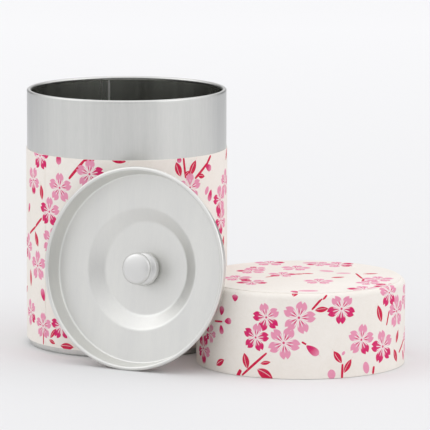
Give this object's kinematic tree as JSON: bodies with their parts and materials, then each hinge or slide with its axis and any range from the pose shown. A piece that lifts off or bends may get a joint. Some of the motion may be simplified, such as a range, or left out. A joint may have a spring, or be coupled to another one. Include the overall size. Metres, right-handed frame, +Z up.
{
  "type": "tea caddy",
  "caption": "Round tinplate tea caddy covered in washi paper, standing open, with its push-in inner lid leaning on it and its outer cap beside it.",
  "frame": {"origin": "on the can's axis, in the plane it stands on", "axes": "+Z up along the can's axis, +X to the right towards the cap, -Y to the front, where the inner lid leans"},
  "size_m": [0.151, 0.1246, 0.1029],
  "materials": {
    "tinplate": "satin tinplate",
    "washi": "ivory washi printed with cherry blossom",
    "aluminium": "satin turned aluminium"
  },
  "bodies": {
    "can": {"can_tube": "tinplate", "can_bottom": "tinplate", "can_washi": "washi"},
    "cap": {"cap_band": "tinplate", "cap_top": "tinplate", "cap_side_washi": "washi", "cap_top_washi": "washi"},
    "inner_lid": {"lid_pan": "tinplate", "knob": "aluminium", "knob_rivet": "aluminium", "rivet_washer": "tinplate"}
  },
  "joints": [
    {"name": "cap_lift", "type": "slide", "parent": "can", "child": "cap", "axis": [0.2854, -0.1142, 0.9516], "range_m": [0, 0.12]},
    {"name": "lid_draw", "type": "slide", "parent": "can", "child": "inner_lid", "axis": [-0.4627, -0.8738, 0.1495], "range_m": [0, 0.06]}
  ]
}
